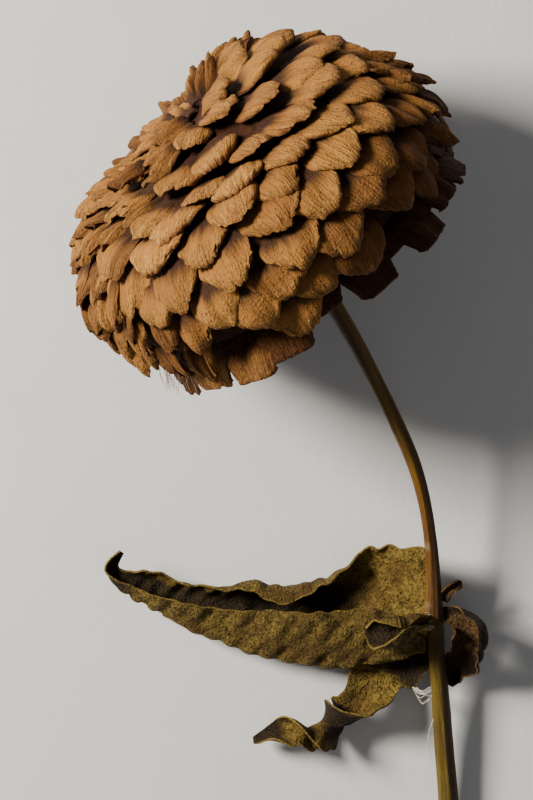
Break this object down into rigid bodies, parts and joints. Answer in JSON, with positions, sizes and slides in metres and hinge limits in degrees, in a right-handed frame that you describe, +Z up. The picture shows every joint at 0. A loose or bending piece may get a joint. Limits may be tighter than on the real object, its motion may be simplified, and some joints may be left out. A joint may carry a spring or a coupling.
{
  "type": "dried zinnia flower",
  "caption": "Dried double zinnia bloom on a curved cut stem with curled leaves at one node, lying on its side as picked.",
  "frame": {"origin": "middle of the flower's outer box, on the surface that it lies on", "axes": "+Y runs along the flower from its cut stem end to its bloom, +Z up from the surface, +X to the right of the stem seen from above"},
  "size_m": [0.0844, 0.1879, 0.0769],
  "materials": {
    "petals": "matte",
    "bracts": "matte",
    "stem": "satin",
    "leaf_olive": "matte",
    "leaf_brown": "matte"
  },
  "bodies": {
    "root": {"bloom": "petals", "involucre": "bracts", "stem": "stem", "leaf_large": "leaf_olive", "leaf_lower": "leaf_olive", "leaf_small": "leaf_olive", "leaf_right": "leaf_brown", "leaf_shoot": "leaf_brown"}
  },
  "joints": []
}
